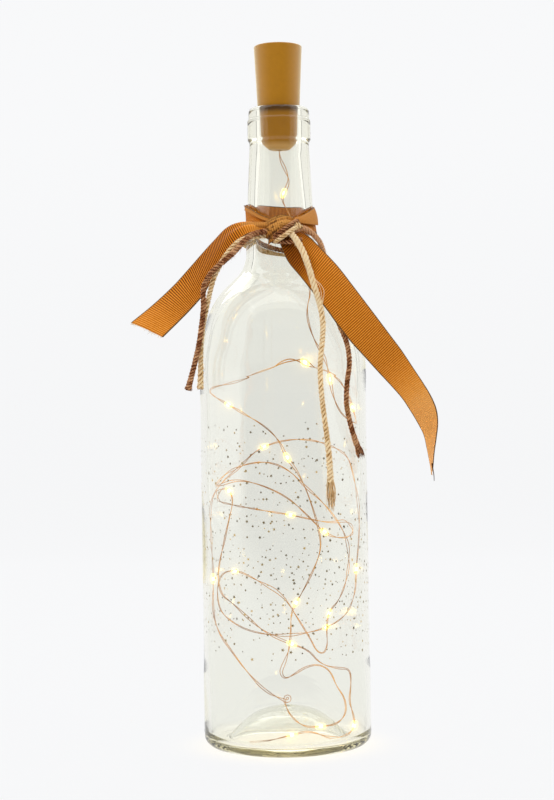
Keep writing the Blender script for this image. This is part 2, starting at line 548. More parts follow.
def ribbon_cloth(name, stops, relief, ribbed=0.66, mottled=0.20):
    """Grosgrain: fine ribs across the strip, a tight edge, a satin shine."""
    m, tree, s = material(name, (0.5, 0.2, 0.05), 0.55, 0.0)
    s.inputs["Specular IOR Level"].default_value = 0.06
    s.inputs["Sheen Weight"].default_value = 0.02
    s.inputs["Sheen Roughness"].default_value = 0.4
    s.inputs["Sheen Tint"].default_value = (1.0, 0.62, 0.28, 1.0)
    uvn = node(tree, "ShaderNodeUVMap")
    uvn.uv_map = "cloth"
    split = node(tree, "ShaderNodeSeparateXYZ")
    tree.links.new(uvn.outputs["UV"], split.inputs[0])
    across, along = split.outputs[0], split.outputs[1]  # millimetres
    wander = noise(tree, uvn.outputs["UV"], 0.35, 2.0)
    ribs = maths(
        tree, "SINE",
        maths(tree, "ADD", maths(tree, "MULTIPLY", along, 2 * math.pi / 0.95), maths(tree, "MULTIPLY", wander, 1.6)),
    )
    ribs01 = maths(tree, "MULTIPLY_ADD", ribs, 0.5, 0.5)
    warp = noise(tree, stretched_uv(tree, uvn.outputs["UV"], (3.0, 0.4, 1.0)), 1.0, 2.0)
    grain = noise(tree, uvn.outputs["UV"], 1.6, 3.0, 0.6)
    edge = maths(tree, "GREATER_THAN", maths(tree, "ABSOLUTE", maths(tree, "SUBTRACT", across, 8.0)), 7.55)
    # tone is where the satin turns pale (above 0) or lies in a fold's shade (below 0)
    at = node(tree, "ShaderNodeAttribute")
    at.attribute_name = "tone"
    flat = maths(tree, "MINIMUM", maths(tree, "MAXIMUM", at.outputs["Fac"], 0.0), 1.0)
    share = maths(tree, "MULTIPLY_ADD", flat, -0.75 * ribbed, ribbed)
    shade = maths(
        tree, "ADD", maths(tree, "MULTIPLY", maths(tree, "SUBTRACT", ribs01, 0.5), share),
        maths(tree, "ADD", maths(tree, "MULTIPLY", grain, mottled), maths(tree, "MULTIPLY", warp, 0.22)),
    )
    shade = maths(tree, "ADD", shade, maths(tree, "MULTIPLY_ADD", at.outputs["Fac"], 0.38, ribbed * 0.5))
    body = ramp(
        tree, shade,
        stops,
    )
    mix = node(tree, "ShaderNodeMix")
    mix.data_type = "RGBA"
    tree.links.new(edge, mix.inputs[0])
    tree.links.new(body, mix.inputs[6])
    mix.inputs[7].default_value = (0.17, 0.085, 0.030, 1)
    tree.links.new(mix.outputs[2], s.inputs["Base Color"])
    tree.links.new(maths(tree, "ADD", maths(tree, "MULTIPLY", grain, 0.2), 0.42), s.inputs["Roughness"])
    bump(tree, s, maths(tree, "ADD", ribs01, maths(tree, "MULTIPLY", warp, 0.12)), relief, 0.00016)
    return m


def twine_fibre(name, dark, mid, pale):
    m, tree, s = material(name, mid, 0.85, 0.0)
    s.inputs["Specular IOR Level"].default_value = 0.15
    at = node(tree, "ShaderNodeAttribute")
    at.attribute_name = "tone"
    v = coordinates(tree)
    streak = noise(tree, v, 900.0, 4.0, 0.7)
    broad = noise(tree, v, 120.0, 2.0)
    fac = maths(
        tree, "ADD", maths(tree, "MULTIPLY", streak, 0.45),
        maths(tree, "ADD", maths(tree, "MULTIPLY", broad, 0.4), at.outputs["Fac"]),
    )
    tree.links.new(ramp(tree, fac, [(0.2, dark), (0.45, mid), (0.72, pale)]), s.inputs["Base Color"])
    bump(tree, s, streak, 0.8, 0.0003)
    return m


def crumple(m):
    """Broad uneven creases laid over the ribs."""
    tree = m.node_tree
    old = next(n for n in tree.nodes if n.type == "BUMP")
    new = node(tree, "ShaderNodeBump")
    new.inputs["Strength"].default_value = 0.9
    new.inputs["Distance"].default_value = 0.0010
    v = coordinates(tree)
    tree.links.new(noise(tree, v, 520.0, 2.0, 0.6), new.inputs["Height"])
    tree.links.new(new.outputs["Normal"], old.inputs["Normal"])
    # dark blotches where the cloth is pinched, most in its shaded folds
    s = tree.nodes["Principled BSDF"]
    at = next(n for n in tree.nodes if n.type == "ATTRIBUTE")
    deep = maths(tree, "MULTIPLY_ADD", at.outputs["Fac"], -0.16, 0.445)
    dark = maths(tree, "MULTIPLY", maths(tree, "SUBTRACT", deep, noise(tree, v, 760.0, 3.0, 0.65)), 9.0)
    dark = maths(tree, "MINIMUM", maths(tree, "MAXIMUM", dark, 0.0), 0.88)
    mix = node(tree, "ShaderNodeMix")
    mix.data_type = "RGBA"
    before = s.inputs["Base Color"].links[0].from_socket
    tree.links.new(dark, mix.inputs[0])
    tree.links.new(before, mix.inputs[6])
    mix.inputs[7].default_value = (0.060, 0.020, 0.006, 1)
    tree.links.new(mix.outputs[2], s.inputs["Base Color"])
    return m


cloth = ribbon_cloth(
    "ribbon_cloth",
    [(0.18, (0.10, 0.024, 0.002)), (0.53, (0.53, 0.145, 0.007)), (0.85, (0.79, 0.285, 0.026)), (1.0, (0.87, 0.41, 0.115))], 0.42,
)
fold_cloth = crumple(ribbon_cloth(
    "ribbon_fold",
    [(0.08, (0.20, 0.070, 0.012)), (0.30, (0.50, 0.205, 0.040)), (0.50, (0.64, 0.30, 0.072)), (0.80, (0.82, 0.46, 0.16))], 0.14,
    ribbed=0.2, mottled=0.3,
))
lip_cloth = ribbon_cloth(
    "ribbon_lip",
    [(0.16, (0.30, 0.105, 0.016)), (0.40, (0.55, 0.225, 0.045)), (0.58, (0.66, 0.30, 0.070)), (0.85, (0.82, 0.44, 0.14))], 0.16,
    ribbed=0.2, mottled=0.3,
)
jute = twine_fibre("jute_pale", (0.34, 0.18, 0.058), (0.72, 0.455, 0.20), (0.97, 0.77, 0.48))
brown = twine_fibre("jute_brown", (0.050, 0.012, 0.004), (0.230, 0.068, 0.021), (0.66, 0.36, 0.18))

# ----------------------------------------------------------- the lamp string
string_line = nurbs_points("string_line", STRING_ROUTE)
string_path, along = resample(string_line, 0.0009)


def clear_of_wall(P, margin):
    return P


T, N, B = frames(string_path)
twist = along / 0.034 * 2 * math.pi + 1.3 * np.sin(along * 61) + 1.6 * np.sin(along * 23 + 1)
gap = 0.00024 + 0.00042 * np.clip(np.sin(along * 97.0) * np.sin(along * 37.0 + 1), 0, 1) + 0.00005 * np.sin(along * 311.0)
strands = Build()
for side in (0, math.pi):
    off = np.cos(twist + side)[:, None] * N + np.sin(twist + side)[:, None] * B
    line = string_path + off * gap[:, None]
    verts, faces = tube(line, 0.00016, 6)
    strands.add(verts, faces)
light_string = strands.obj("light_string", copper)

drops, chips = Build(), Build()
for lamp_number, lamp in enumerate(LAMPS):
    k = int(np.argmin(np.linalg.norm(string_path - np.array(lamp) * MM, axis=1)))
    k = min(max(k, 4), len(string_path) - 5)
    centre, axis = string_path[k], T[k]
    n, b = N[k], B[k]
    # a drop that sags a little and is not quite round
    t = np.linspace(-1, 1, 19)
    line = centre + np.outer(t, axis) * 0.00245
    swell = 0.00125 * np.sqrt(np.maximum(1 - np.abs(t) ** 2.6, 0.0)) * (1 + 0.10 * rng.uniform(-1, 1) * t) + 0.00004
    verts, faces = tube(line, swell, 16, squash=0.86 + 0.1 * rng.random())
    drops.add(verts, faces)
    half = np.array([0.00028, 0.0004, 0.00060]) * 1.25
    corners = [
        centre + n * sx * half[0] + b * sy * half[1] + axis * sz * half[2]
        for sx in (-1, 1) for sy in (-1, 1) for sz in (-1, 1)
    ]
    chips.add(corners, [(0, 1, 3, 2), (4, 6, 7, 5), (0, 4, 5, 1), (2, 3, 7, 6), (0, 2, 6, 4), (1, 5, 7, 3)])
lamp_drops = drops.obj("lamp_drops", drop_resin)
lamp_chips = chips.obj("lamp_chips", lit, smooth=False)
lamp_drops.visible_shadow = False
for piece in (light_string, lamp_drops, lamp_chips):
    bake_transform(piece)
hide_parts("light_wire")
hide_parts("led_drops")
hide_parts("led_chips")


# --------------------------------------------------------------- the twines
def hairs(build, P, radius, count, longest, seed, tone=0.15, open_end=False):
    """Fine loose fibres that leave the twine's surface."""
    r = np.random.default_rng(seed)
    T, N, B = frames(P)
    for _ in range(count):
        k = int(r.integers(1, len(P) - 2))
        g = r.uniform(0, 2 * math.pi)
        out = N[k] * math.cos(g) + B[k] * math.sin(g)
        side = np.cross(T[k], out)
        length = longest * (0.25 + 0.75 * r.random() ** 2)
        lean = r.uniform(-1, 1)
        curl = r.uniform(-1, 1, 3)
        pts = []
        for t in np.linspace(0, 1, 6):
            pts.append(
                P[k] + out * (radius * 0.8 + length * t * (0.55 - 0.25 * t)) + T[k] * lean * length * t
                + side * length * 0.45 * curl[0] * t * t + np.array([0, 0, -1]) * length * 0.25 * t * t
            )
        line = np.array(pts)
        verts, faces = tube(line, np.linspace(0.000045, 0.00002, 6), 3)
        build.add(verts, faces, tone + r.uniform(-0.1, 0.15))


def twine(name, line, diameter, fibre, seed, lay=4.8, plies=3, closed=False, fuzz=4.0, swell=None, tone=None, ruffled=0):
    """Plies laid round each other, each of twisted fibre bundles, with loose hairs."""
    P, s = resample(line, 0.00035)
    r = np.random.default_rng(seed)
    T, N, B = frames(P)
    total = s[-1]
    turns = total / (lay * MM)
    if closed:
        turns = round(turns)
    phase = s / total * turns * 2 * math.pi + 0.5 * np.sin(s * 420 + seed)
    build = Build()
    size = np.interp(s / MM, *zip(*(swell or [(0, 1), (1, 1)])))
    shade = np.interp(s / MM, *zip(*(tone or [(0, 0), (1, 0)])))
    shade = shade + 0.05 * np.sin(s * 610 + seed) + 0.05 * np.sin(s * 1730 + 2 * seed)
    ply = diameter * (0.265 if plies == 2 else 0.232) * size
    for k in range(plies):
        g = phase + 2 * math.pi * k / plies
        off = (diameter * (0.235 if plies == 2 else 0.262) * size)[:, None]
        centre = P + off * (np.cos(g)[:, None] * N + np.sin(g)[:, None] * B)
        wobble = 1 + 0.07 * np.sin(s * 1900 + r.uniform(0, 6)) + 0.06 * np.sin(s * 830 + r.uniform(0, 6))
        radius = ply * wobble
        verts, faces = tube(centre, radius, 10, closed=False, spin=g * 1.7)
        depth = np.linalg.norm(verts.reshape(len(P), 10, 3) - P[:, None], axis=2) / (0.5 * diameter * size)[:, None]
        build.add(verts, faces, (shade[:, None] - 0.04 + 0.04 * k + 1.1 * np.clip(depth - 0.82, -0.4, 0.2)).ravel())
        # raised bundles of fibre laid along each ply
        for q in range(5):
            h = g * 1.0 + s * 1900 * 0.9 + 2 * math.pi * q / 5
            lift = radius * 0.84
            Tc, Nc, Bc = frames(centre)
            bundle = centre + (np.cos(h)[:, None] * Nc + np.sin(h)[:, None] * Bc) * lift[:, None]
            verts, faces = tube(bundle[::2], radius[::2] * 0.34, 5)
            depth = np.linalg.norm(verts.reshape(-1, 5, 3) - P[::2][:, None], axis=2) / (0.5 * diameter * size[::2])[:, None]
            own = (-0.12, 0.05, 0.20, -0.02, 0.13)[q] + r.uniform(-0.05, 0.05)
            build.add(verts, faces, (shade[::2][:, None] + own + 1.1 * np.clip(depth - 0.85, -0.4, 0.2)).ravel())
    hairs(build, P, diameter * 0.5, int(total / MM * fuzz), 2.4 * MM, seed + 9)
    if ruffled:
        near = P[s < ruffled * MM]
        hairs(build, near, diameter * 0.5, int(ruffled * 9), 3.2 * MM, seed + 19)
    return build.obj(name, fibre)


def tassel(name, tip, direction, length, spread, fibre, seed, count=46, pale=0.0, root=0.0008, strand=0.00016):
    """The loosened fibres at a twine's end."""
    r = np.random.default_rng(seed)
    build = Build()
    d = np.array(direction, float)
    d /= np.linalg.norm(d)
    a = np.cross(d, [1.0, 0, 0])
    a /= np.linalg.norm(a)
    b = np.cross(d, a)
    for _ in range(count):
        g = r.uniform(0, 2 * math.pi)
        out = a * math.cos(g) + b * math.sin(g)
        start = np.array(tip) + out * root * math.sqrt(r.random()) - d * 0.0010
        L = length * (0.55 + 0.45 * r.random())
        w = spread * r.random()
        bend = r.uniform(-1, 1, 2) * spread * 0.5
        line = np.array([
            start + d * L * t + out * w * math.sin(t * 2.1) + (a * bend[0] + b * bend[1]) * math.sin(t * 4.0)
            for t in np.linspace(0, 1, 9)
        ])
        verts, faces = tube(line, np.linspace(strand, strand * 0.4, 9), 4)
        build.add(verts, faces, pale + r.uniform(-0.28, 0.28))
    return build.obj(name, fibre)


def slack_fibre(name, line, high, low, bows, fibre):
    """Single fibres that have come away from the twine in a bow between two heights."""
    i, j = (int(np.argmin(np.abs(line[:, 2] - z * MM))) for z in (high, low))
    build = Build()
    for bow, shift in bows:
        t = np.linspace(0, 1, 25)
        P = line[i] + np.outer(t, line[j] - line[i])
        P[:, 0] += (0.6 + bow * np.sin(math.pi * t) * (1 + 0.25 * np.sin(5 * t + shift))) * MM
        P[:, 1] -= (0.9 + 0.6 * np.sin(math.pi * t + shift)) * MM
        verts, faces = tube(P, 0.00011, 4)
        build.add(verts, faces, 0.25)
    return build.obj(name, fibre)


fibres = {"jute": jute, "brown": brown}
SWELLS = {
    "jute_tail_left": [(0, 1.15), (40, 1.1), (70, 1.15), (80, 1.35)], "brown_tail_left": [(0, 1.3), (30, 1.2), (78, 1.2), (85, 1.4)],
    "jute_tail_right": [(0, 1.4), (30, 1.3), (60, 1.15), (92, 1.15), (115, 1.45)],
    "brown_tail_right": [(0, 1.2), (40, 1.1), (104, 1.15), (112, 1.4)],
}
TONES = {
    "jute_tail_left": [(0, 0.1), (20, 0.04), (60, 0.06), (80, 0.12)], "brown_tail_left": [(0, -0.05), (14, 0.0), (85, 0.02)],
    "jute_tail_right": [(0, 0.22), (40, 0.18), (60, 0.06), (90, 0.02), (115, 0.14)],
    "brown_tail_right": [(0, 0.30), (16, 0.28), (25, 0.03), (60, 0.08), (66, -0.02), (112, -0.02)],
}
tips = {}
for number, (name, route) in enumerate(TWINE_ROUTES.items()):
    kind = name.split("_")[0]
    line = nurbs_points(name + "_line", route)
    tips[name] = (line[-1], line[-1] - line[-4])
    piece = twine(
        name + "_twine", line, 0.0022, fibres[kind], 40 + number, lay=5.6 if kind == "jute" else 4.4,
        swell=SWELLS[name], tone=TONES[name], ruffled=26,
    )
    more = []
    if name == "jute_tail_right":
        more.append(slack_fibre("jute_right_slack", line, 210.5, 197.0, [(2.7, 0.4), (2.0, 1.5)], jute))
        more.append(tassel("jute_right_tassel", line[-1], line[-1] - line[-4], 0.0140, 0.0012, jute, 5, 74, 0.10, 0.0014, 0.00013))
    elif name == "jute_tail_left":
        more.append(tassel("jute_left_tassel", line[-1], line[-1] - line[-4], 0.0018, 0.0005, jute, 6, 60, 0.05, 0.0012))
    elif name == "brown_tail_left":
        more.append(tassel("brown_left_tassel", line[-1], line[-1] - line[-4], 0.0016, 0.0005, brown, 7, 60, 0.0, 0.0013))
    else:
        more.append(tassel("brown_right_tassel", line[-1], line[-1] - line[-4], 0.0056, 0.0006, brown, 8, 80, 0.0, 0.0014))
    for o in [piece] + more:
        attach(o, "bottle")
    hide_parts(name)

LOOPS = {
    "brown_neck_loop": [
        (0, 17.3, 226.7), (-12.1, 12.4, 229.9), (-17.4, 0.5, 232.2), (-14.4, -12.6, 233.0), (-7, -20.4, 232.6),
        (0, -22.4, 231.6), (6.6, -20.6, 229.6), (14.2, -12.4, 226.6), (17.6, 0.5, 224.6), (12.2, 12.6, 224.4),
    ],
    "jute_neck_loop": [
        (0, 17.6, 223.8), (-12.3, 12.6, 227.1), (-17.6, 0.3, 229.4), (-14.5, -12.7, 230.6), (-7, -20.6, 230.4),
        (0, -22.6, 229.3), (6.8, -20.8, 227.2), (14.5, -12.7, 223.8), (17.9, 0.3, 221.7), (12.5, 12.9, 221.5),
    ],
}
for number, (name, points) in enumerate(LOOPS.items()):
    P = np.array(points) * MM
    ring = np.vstack([P[-2:], P, P[:3]])
    line, _ = smooth_line(ring, 0.0005)
    a = int(np.argmin(np.linalg.norm(line[: len(line) // 2] - P[0], axis=1)))
    half = len(line) // 2
    z = half + int(np.argmin(np.linalg.norm(line[half:] - P[0], axis=1)))
    kind = name.split("_")[0]
    thick = 1.4 if kind == "jute" else 1.2
    piece = twine(
        name + "_twine", line[a : z + 1], 0.0022, fibres[kind], 60 + number, fuzz=1.4,
        swell=[(0, thick), (20, thick), (36, 1.05), (80, 1.05), (96, thick), (125, thick)],
    )
    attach(piece, "bottle")
    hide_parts(name)


# --------------------------------------------------------------- the ribbon
def strip(name, pairs, bulge=None, pleats=None, thick=0.00038, columns=28, step=0.0006, width=16.0, tone=None):
    """A strip of ribbon between two edges, given as pairs of points in millimetres.
    bulge(t) is the cup of the section in millimetres, pleats(t) gives its folds' depth and number."""
    A = np.array([p[0] for p in pairs], float) * MM
    Bp = np.array([p[1] for p in pairs], float) * MM
    C = (A + Bp) / 2
    d = np.concatenate([[0], np.cumsum(np.linalg.norm(np.diff(C, axis=0), axis=1))])
    knots = np.concatenate([[2 * d[0] - d[1]], d, [2 * d[-1] - d[-2]]])

    def through(Q, s):
        E = np.vstack([2 * Q[0] - Q[1], Q, 2 * Q[-1] - Q[-2]])
        i = int(np.clip(np.searchsorted(knots, s, side="right") - 1, 1, len(E) - 3))
        t = (s - knots[i]) / (knots[i + 1] - knots[i])
        m1 = (E[i + 1] - E[i - 1]) / (knots[i + 1] - knots[i - 1]) * (knots[i + 1] - knots[i])
        m2 = (E[i + 2] - E[i]) / (knots[i + 2] - knots[i]) * (knots[i + 1] - knots[i])
        return (
            (2 * t ** 3 - 3 * t * t + 1) * E[i] + (t ** 3 - 2 * t * t + t) * m1
            + (-2 * t ** 3 + 3 * t * t) * E[i + 1] + (t ** 3 - t * t) * m2
        )

    rows = max(3, int(d[-1] / step) + 1)
    S = np.linspace(0, d[-1], rows)
    a = np.array([through(A, s) for s in S])
    b = np.array([through(Bp, s) for s in S])
    c = (a + b) / 2
    tangent = np.gradient(c, axis=0)
    tangent /= np.linalg.norm(tangent, axis=1)[:, None]
    across = b - a
    normal = np.cross(tangent, across)
    normal /= np.linalg.norm(normal, axis=1)[:, None]
    u = np.linspace(0, 1, columns)
    grid = np.zeros((rows, columns, 3))
    for i in range(rows):
        t = S[i] / d[-1]
        push = np.zeros(columns)
        if bulge:
            push += bulge(t) * MM * (1 - (2 * u - 1) ** 2)
        if pleats:
            depth, count, shift = pleats(t)
            push += depth * MM * np.sin(2 * math.pi * (count * u + shift))
        grid[i] = a[i] + np.outer(u, across[i]) + np.outer(push, normal[i])
    du = np.gradient(grid, axis=1)
    dv = np.gradient(grid, axis=0)
    nn = np.cross(dv, du)
    nn /= np.maximum(np.linalg.norm(nn, axis=2), 1e-12)[:, :, None]
    top = (grid + nn * thick / 2).reshape(-1, 3)
    low = (grid - nn * thick / 2).reshape(-1, 3)
    count = rows * columns
    faces = []
    for i in range(rows - 1):
        for k in range(columns - 1):
            p, q = i * columns + k, (i + 1) * columns + k
            faces.append((p, p + 1, q + 1, q))
            faces.append((count + p, count + q, count + q + 1, count + p + 1))
    for i in range(rows - 1):
        p, q = i * columns, (i + 1) * columns
        faces.append((p, q, count + q, count + p))
        p, q = i * columns + columns - 1, (i + 1) * columns + columns - 1
        faces.append((p, count + p, count + q, q))
    for k in range(columns - 1):
        faces.append((k, count + k, count + k + 1, k + 1))
        p = (rows - 1) * columns + k
        faces.append((p, p + 1, count + p + 1, count + p))
    uv = np.stack([np.tile(u * width, rows), np.repeat(S / MM, columns)], axis=1)
    uv = np.vstack([uv, uv])
    shade = np.zeros((rows, columns))
    if tone:
        for i in range(rows):
            shade[i] = [tone(S[i] / d[-1], x) for x in u]
    shade = np.concatenate([shade.ravel(), shade.ravel()])
    obj = make(name, np.vstack([top, low]), faces, cloth, uv=uv, attributes={"tone": shade})
    return obj, grid, nn


def fray(name, grid_row, outward, seed, longest=0.0011, count=70):
    """Cut threads along a ribbon's end."""
    r = np.random.default_rng(seed)
    build = Build()
    for _ in range(count):
        f = r.random() * (len(grid_row) - 1.001)
        k = int(f)
        start = grid_row[k] + (grid_row[k + 1] - grid_row[k]) * (f - k)
        L = longest * (0.2 + 0.8 * r.random() ** 2)
        wander = r.uniform(-1, 1, 3) * L * 0.5
        line = np.array([start - outward * 0.0002 + outward * L * t + wander * t * t for t in np.linspace(0, 1, 5)])
        verts, faces = tube(line, 0.00005, 3)
        build.add(verts, faces, r.uniform(0.0, 0.4))
    return build.obj(name, jute)


def ease(t, a, b):
    x = min(1.0, max(0.0, (t - a) / (b - a)))
    return x * x * (3 - 2 * x)


left_tail, grid, nn = strip(
    "ribbon_left_strip", RIBBON_LEFT,
    bulge=lambda t: 0.9 - 0.2 * t + 0.5 * math.sin(7 * t),
    pleats=lambda t: (0.55 * (1 - ease(t, 0.05, 0.38)) + 0.12, 1.6, 0.1 + 0.5 * t),
    tone=lambda t, u: 0.9 * (1 - ease(t, 0.06, 0.2)) - 0.42 * ease(t, 0.1, 0.3) + 0.40 * ease(t, 0.4, 0.75) + 0.50 * ease(t, 0.7, 1.0),
)
out = grid[-1, 10] - grid[-4, 10]
left_fray = fray("ribbon_left_fray", grid[-1], out / np.linalg.norm(out), 71, 0.0014, 150)
right_tail, grid, nn = strip(
    "ribbon_right_strip", RIBBON_RIGHT,
    bulge=lambda t: -(0.5 + 0.7 * math.sin(5.5 * t + 0.6)),
    pleats=lambda t: (0.5 * (1 - ease(t, 0.02, 0.25)) + 0.10, 1.4, 0.3 + 0.4 * t),
    tone=lambda t, u: (
        0.12 - 0.85 * (1 - ease(t, 0.10, 0.19)) * ease(u, 0.3, 0.62) - 0.35 * (1 - ease(t, 0.05, 0.16)) + 1.15 * ease(t, 0.52, 0.80)
    ),
)
out = grid[-1, 10] - grid[-4, 10]
right_fray = fray("ribbon_right_fray", grid[-1], out / np.linalg.norm(out), 72, 0.0008, 40)
line, _ = smooth_line(np.array([(66.4, -13.9, 127.4), (66.8, -14.1, 124.6), (67.2, -14.1, 122.0), (67.3, -13.8, 119.4)]) * MM, 0.0004)
thread = Build()
thread.add(*tube(line, np.linspace(0.00030, 0.00014, len(line)), 5), -0.3)
right_thread = thread.obj("ribbon_right_thread", brown)
for o in (left_tail, left_fray, right_tail, right_fray, right_thread):
    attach(o, "bottle")
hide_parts("ribbon_tail_left")
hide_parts("ribbon_tail_right")


def neck_radius(z):
    return 16.2 - (z - 217.0) * (16.2 - 13.55) / 57.0


# the wrap: round the back of the neck, then folded forward to the knot on each side
def wrap_pair(angle, top, low, lift_top=0.45, lift_low=0.45):
    g = math.radians(angle)
    rt, rl = neck_radius(top) + lift_top, neck_radius(low) + lift_low
    return ((rt * math.cos(g), rt * math.sin(g), top), (rl * math.cos(g), rl * math.sin(g), low))


WRAP = [
    ((3.0, -20.4, 237.6), (2.2, -20.6, 234.2)),
    ((5.4, -19.6, 237.8), (5.2, -19.8, 234.4)),
    ((7.7, -18.4, 238.0), (8.2, -18.0, 233.8)),
    ((10.6, -14.4, 239.8), (12.0, -14.2, 233.0)),
    ((13.4, -8.6, 242.2), (15.2, -8.8, 232.7)),
    ((14.9, -3.2, 243.9), (16.4, -3.0, 232.4)),
    ((15.2, 2.2, 245.0), (16.0, 2.4, 232.0)),
    wrap_pair(30, 245.8, 231.2), wrap_pair(50, 246.3, 231.0), wrap_pair(70, 246.6, 231.2),
    wrap_pair(90, 246.9, 231.6), wrap_pair(110, 247.1, 232.2), wrap_pair(130, 247.2, 233.4), wrap_pair(150, 247.1, 235.0),
    ((-15.0, 3.0, 246.6), (-14.9, 3.2, 236.8)),
    ((-15.9, -2.0, 245.6), (-15.5, -1.8, 237.8)),
    ((-15.5, -5.0, 244.6), (-15.3, -6.0, 237.8)),
    ((-13.0, -10.6, 242.7), (-13.2, -11.4, 237.0)),
    ((-9.8, -15.4, 240.2), (-9.6, -16.0, 235.8)),
    ((-6.6, -18.6, 238.0), (-6.2, -19.0, 234.8)),
    ((-3.4, -20.2, 236.8), (-3.0, -20.4, 234.2)),
]
wrap, grid, nn = strip(
    "ribbon_wrap", WRAP, bulge=lambda t: 0.12,
    pleats=lambda t: (0.75 * (1 - ease(t, 0.03, 0.22)) + 0.75 * ease(t, 0.80, 0.97), 1.8, 0.2),
    columns=30, step=0.0007,
)
# the folded-over upper edges of the wrap on both sides of the knot
lip_left, grid, nn = strip(
    "ribbon_lip_left",
    [
        ((-16.4, -2.6, 245.7), (-16.2, -3.2, 243.3)), ((-15.5, -6.0, 244.8), (-15.4, -6.6, 242.6)),
        ((-12.9, -11.6, 242.8), (-13.0, -12.1, 240.7)), ((-9.7, -16.2, 240.4), (-9.8, -16.7, 238.4)),
        ((-6.4, -19.3, 238.6), (-6.6, -19.9, 236.8)), ((-3.4, -20.8, 237.4), (-3.6, -21.2, 236.0)),
    ],
    bulge=lambda t: 0.35, columns=10, width=5.0,
)
lip_right, grid, nn = strip(
    "ribbon_lip_right",
    [
        ((15.4, -3.2, 244.2), (17.0, -4.2, 236.0)), ((14.4, -7.4, 242.9), (16.6, -8.6, 235.6)),
        ((12.0, -12.4, 240.9), (14.2, -13.4, 235.4)), ((9.4, -16.8, 239.0), (11.0, -17.6, 235.4)),
        ((6.8, -19.8, 238.0), (7.6, -20.4, 235.8)), ((4.2, -21.2, 237.0), (4.2, -21.8, 235.6)),
    ],
    bulge=lambda t: 0.5, columns=14, width=12.0,
)
for o in (wrap, lip_left, lip_right):
    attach(o, "bottle")
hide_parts("ribbon_neck_band")

# the knot: the ribbon passes over itself, gathered into folds
KNOT_OVER = [
    ((5.8, -17.8, 236.8), (6.8, -18.6, 232.6)), ((4.4, -21.2, 238.0), (6.0, -23.0, 231.8)),
    ((1.4, -23.6, 238.3), (3.4, -26.2, 230.8)), ((-1.8, -24.7, 237.3), (0.2, -27.4, 229.0)),
    ((-4.8, -24.2, 236.0), (-2.8, -26.9, 227.2)), ((-6.8, -22.8, 234.6), (-4.6, -24.6, 226.2)),
    ((-7.2, -20.0, 233.2), (-5.0, -21.2, 226.6)), ((-5.6, -17.8, 232.8), (-4.2, -18.6, 228.2)),
]
knot_over, grid, nn = strip(
    "ribbon_knot_over", KNOT_OVER, bulge=lambda t: 0.9 * math.sin(math.pi * t),
    pleats=lambda t: (0.36 + 0.22 * math.sin(9 * t), 1.7 + 0.6 * math.sin(4 * t), 0.15 + 0.45 * t), columns=44, step=0.0004, thick=0.0005,
    tone=lambda t, u: 0.25 - 0.7 * max(0.0, -math.sin(2 * math.pi * ((1.7 + 0.6 * math.sin(4 * t)) * u + 0.15 + 0.45 * t)) - 0.3)
    - 0.75 * ease(t, 0.30, 0.75) * (0.35 + 0.65 * u),
)
KNOT_UNDER = [
    ((-7.6, -19.4, 235.8), (-7.0, -20.4, 233.2)), ((-5.6, -21.8, 236.9), (-4.4, -23.6, 232.8)),
    ((-2.4, -22.6, 238.4), (-0.8, -24.8, 233.4)), ((1.2, -22.6, 239.0), (2.4, -24.8, 234.0)),
    ((4.6, -21.8, 237.9), (5.4, -23.6, 234.0)), ((7.0, -19.8, 236.8), (7.0, -20.8, 234.0)),
]
knot_under, grid, nn = strip(
    "ribbon_knot_under", KNOT_UNDER, bulge=lambda t: 1.0,
    pleats=lambda t: (0.28, 1.6, 0.4 + 0.3 * t), columns=32, step=0.0004, thick=0.0005, tone=lambda t, u: 0.2,
)
# the tails' rolled roots, between the knot and where each opens flat
ROOT_LEFT = [
    ((-2.6, -21.4, 235.2), (-2.4, -22.0, 232.9)), ((-5.4, -22.2, 235.5), (-5.0, -23.0, 233.2)),
    ((-9.0, -22.2, 235.8), (-8.6, -23.2, 233.3)), ((-13.2, -20.9, 235.9), (-12.8, -23.0, 232.8)),
    ((-17.6, -19.0, 235.7), (-16.8, -22.6, 231.4)),
]
root_left, grid, nn = strip(
    "ribbon_root_left", ROOT_LEFT, bulge=lambda t: 1.1 - 0.4 * t, pleats=lambda t: (0.15, 1.5, 0.2), columns=24,
    step=0.0005, thick=0.0005,
)
ball = bpy.data.meshes.new("knot_core")
bm = bmesh.new()
bmesh.ops.create_icosphere(bm, subdivisions=4, radius=1.0)
for v in bm.verts:
    p = v.co.copy()
    v.co = Vector((p.x * 6.0, p.y * 3.9, p.z * 4.8)) * (1 + 0.09 * math.sin(5 * p.x + 2) * math.sin(6 * p.z) + 0.05 * math.sin(9 * p.y))
    v.co = (v.co + Vector((-0.2, -20.8, 232.8))) * MM
bm.to_mesh(ball)
bm.free()
ball.materials.append(fold_cloth)
layer = ball.uv_layers.new(name="cloth")
for loop in ball.loops:
    co = ball.vertices[loop.vertex_index].co
    layer.data[loop.index].uv = (8.0 + co.z * 0.0, co.x / MM)
ball.polygons.foreach_set("use_smooth", [True] * len(ball.polygons))
core = bpy.data.objects.new("ribbon_knot_core", ball)
scene.collection.objects.link(core)
for o in (knot_over, knot_under):
    o.data.materials[0] = fold_cloth
for o in (root_left, lip_left, lip_right):
    o.data.materials[0] = lip_cloth
for o in (knot_over, knot_under, root_left, core):
    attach(o, "bottle")
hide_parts("ribbon_knot")

